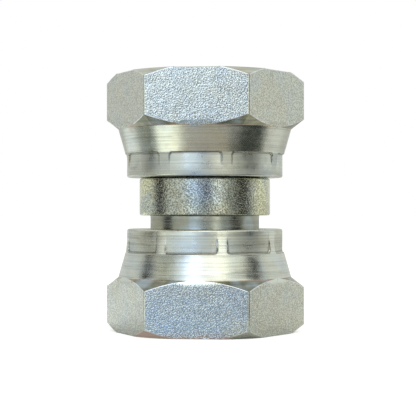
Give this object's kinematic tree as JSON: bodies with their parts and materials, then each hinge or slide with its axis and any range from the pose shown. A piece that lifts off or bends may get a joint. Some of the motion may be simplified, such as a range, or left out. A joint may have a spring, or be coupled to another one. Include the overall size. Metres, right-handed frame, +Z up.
{
  "type": "straight hydraulic connector",
  "caption": "Straight hydraulic connector: a short turned steel body with a free-turning hexagonal swivel nut crimped on at either end and a flow bore right through.",
  "frame": {"origin": "centre of the lower nut's end face, which the connector stands on", "axes": "+Z up along the flow bore; one flat of each hexagon faces -Y"},
  "size_m": [0.031, 0.027, 0.0402],
  "materials": {
    "turned_steel": "zinc plated, fine turning marks",
    "nut_steel": "zinc plated, drawn flats and turned skirt"
  },
  "bodies": {
    "body": {"adapter_body": "turned_steel"},
    "lower_nut": {"lower_swivel_nut": "nut_steel"},
    "upper_nut": {"upper_swivel_nut": "nut_steel"}
  },
  "joints": [
    {"name": "lower_nut_swivel", "type": "hinge", "parent": "body", "child": "lower_nut", "pos_m": [0, 0, 0.008], "axis": [0, 0, 1], "continuous": true},
    {"name": "upper_nut_swivel", "type": "hinge", "parent": "body", "child": "upper_nut", "pos_m": [0, 0, 0.0322], "axis": [0, 0, 1], "continuous": true}
  ]
}
